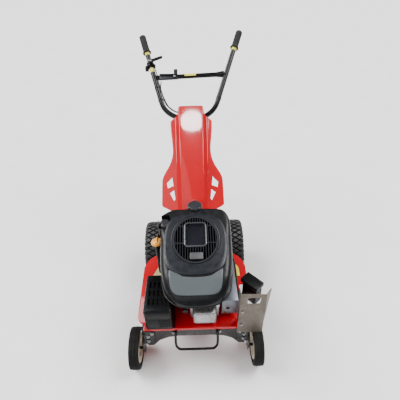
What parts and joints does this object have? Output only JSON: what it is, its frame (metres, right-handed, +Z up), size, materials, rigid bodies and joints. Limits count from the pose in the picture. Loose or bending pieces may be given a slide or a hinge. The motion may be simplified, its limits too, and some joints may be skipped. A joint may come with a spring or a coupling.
{
  "type": "self-propelled walk-behind rotary mower",
  "caption": "Walk-behind rotary mower with a flat red deck, vertical-shaft engine, lugged rear drive wheels, small front wheels, sloping hood and wide handlebar with grips.",
  "frame": {"origin": "bottom centre of the whole machine, on the ground", "axes": "+Z up, +Y towards the grips and the operator, +X towards the muffler, which is on the operator's left"},
  "size_m": [0.6136, 1.5496, 1.019],
  "materials": {
    "red_paint": "glossy red enamel",
    "black_paint": "satin black powder coat",
    "black_plastic": "fine-textured black plastic",
    "grey_plastic": "moulded dark grey plastic",
    "cream_plastic": "cream wheel rim",
    "yellow_plastic": "amber yellow plastic",
    "tyre": "dusty black rubber",
    "grip_rubber": "knurled black rubber",
    "aluminium": "die-cast aluminium",
    "steel": "bare steel",
    "galvanised": "zinc-plated steel sheet",
    "silver_sheet": "silver heat-resistant sheet",
    "bronze": "cast bronze",
    "foam": "oiled foam"
  },
  "bodies": {
    "chassis": {"deck_shell": "red_paint", "hood": "red_paint", "front_beam": "black_paint", "front_bar": "black_paint", "wheel_bracket_left": "black_paint", "wheel_bracket_right": "black_paint", "battery_bracket": "black_paint", "handlebar_column": "black_paint", "exhaust_guard": "galvanised", "battery_lid": "grey_plastic", "battery_case": "black_plastic", "wiring_loom": "black_plastic", "gearbox_housing": "aluminium", "drive_belt": "grip_rubber", "engine_shroud": "grey_plastic", "starter_grille": "black_plastic", "crankcase": "aluminium", "cylinder_head": "aluminium", "rocker_cover": "aluminium", "spark_plug_cap": "black_plastic", "fuel_tank": "black_plastic", "oil_filler_tube": "black_plastic", "carburettor": "aluminium", "air_filter_base": "black_plastic", "air_filter_element": "foam", "muffler_guard": "silver_sheet", "muffler": "steel", "throttle_cable_lower": "black_plastic", "drive_cable_lower": "black_plastic"},
    "crank": {"crankshaft": "steel", "flywheel": "steel", "crank_pulley": "steel", "blade": "steel"},
    "input_shaft": {"worm_shaft": "steel", "input_pulley": "steel"},
    "rear_axle": {"axle_shaft": "steel", "worm_wheel": "bronze", "rear_rim_left": "cream_plastic", "rear_rim_right": "cream_plastic", "rear_tyre_left": "tyre", "rear_tyre_right": "tyre"},
    "front_wheel_left": {"front_rim_left": "cream_plastic", "front_tyre_left": "tyre"},
    "front_wheel_right": {"front_rim_right": "cream_plastic", "front_tyre_right": "tyre"},
    "idler": {"idler_arm": "steel"},
    "idler_wheel": {"idler_pulley": "black_plastic"},
    "handlebar_assembly": {"handlebar": "black_paint", "crossbar": "black_paint", "grip_left": "grip_rubber", "grip_right": "grip_rubber", "throttle_housing": "black_plastic", "throttle_cable": "black_plastic", "drive_cable": "black_plastic"},
    "throttle_lever": {"throttle_lever": "black_plastic"},
    "drive_lever": {"drive_lever": "grey_plastic"},
    "fuel_cap": {"fuel_cap": "black_plastic"},
    "dipstick": {"dipstick": "yellow_plastic"},
    "recoil_handle": {"recoil_handle": "black_plastic"},
    "air_filter_cover": {"air_filter_cover": "black_plastic"}
  },
  "joints": [
    {"name": "crank_spin", "type": "hinge", "parent": "chassis", "child": "crank", "pos_m": [-0.00245, -0.43702, 0.2], "axis": [0, 0, 1], "continuous": true},
    {"name": "rear_axle_spin", "type": "hinge", "parent": "chassis", "child": "rear_axle", "pos_m": [-0.01145, -0.15802, 0.142], "axis": [1, 0, 0], "continuous": true},
    {"name": "input_spin", "type": "hinge", "parent": "chassis", "child": "input_shaft", "pos_m": [-0.01145, -0.11202, 0.2], "axis": [0, 0, 1], "continuous": true},
    {"name": "front_left_spin", "type": "hinge", "parent": "chassis", "child": "front_wheel_left", "pos_m": [-0.2662, -0.68902, 0.0858], "axis": [1, 0, 0], "continuous": true},
    {"name": "front_right_spin", "type": "hinge", "parent": "chassis", "child": "front_wheel_right", "pos_m": [0.2433, -0.68902, 0.0858], "axis": [1, 0, 0], "continuous": true},
    {"name": "drive_lever_pull", "type": "hinge", "parent": "handlebar_assembly", "child": "drive_lever", "pos_m": [-0.09845, 0.49986, 0.83388], "axis": [0, -0.5878, 0.809], "range_deg": [-25, 0]},
    {"name": "idler_swing", "type": "hinge", "parent": "chassis", "child": "idler", "pos_m": [0.08055, -0.12902, 0.21], "axis": [0, 0, 1], "range_deg": [-4.5, 0]},
    {"name": "idler_pulley_spin", "type": "hinge", "parent": "idler", "child": "idler_wheel", "pos_m": [0.05655, -0.18402, 0.203], "axis": [0, 0, 1], "continuous": true},
    {"name": "handlebar_tilt", "type": "hinge", "parent": "chassis", "child": "handlebar_assembly", "pos_m": [-0.01145, 0.30598, 0.672], "axis": [1, 0, 0], "range_deg": [-10, 3]},
    {"name": "throttle_turn", "type": "hinge", "parent": "handlebar_assembly", "child": "throttle_lever", "pos_m": [-0.23232, 0.57312, 0.90317], "axis": [0, -0.5878, 0.809], "range_deg": [0, 45]},
    {"name": "fuel_cap_turn", "type": "hinge", "parent": "chassis", "child": "fuel_cap", "pos_m": [-0.00245, -0.26902, 0.5], "axis": [0, 0, 1], "range_deg": [0, 90]},
    {"name": "dipstick_pull", "type": "slide", "parent": "chassis", "child": "dipstick", "axis": [-0.04, 0.114, 0.9927], "range_m": [0, 0.12]},
    {"name": "recoil_pull", "type": "slide", "parent": "chassis", "child": "recoil_handle", "axis": [-0.12, 0.04, 0.992], "range_m": [0, 0.07], "stiffness_N_per_m": 150},
    {"name": "air_filter_cover_pull", "type": "slide", "parent": "chassis", "child": "air_filter_cover", "axis": [-1, 0, 0], "range_m": [0, 0.06]}
  ],
  "couplings": [
    {"joint": "input_spin", "follows": "rear_axle_spin", "ratio": -15},
    {"joint": "idler_swing", "follows": "drive_lever_pull", "ratio": 0.18}
  ]
}
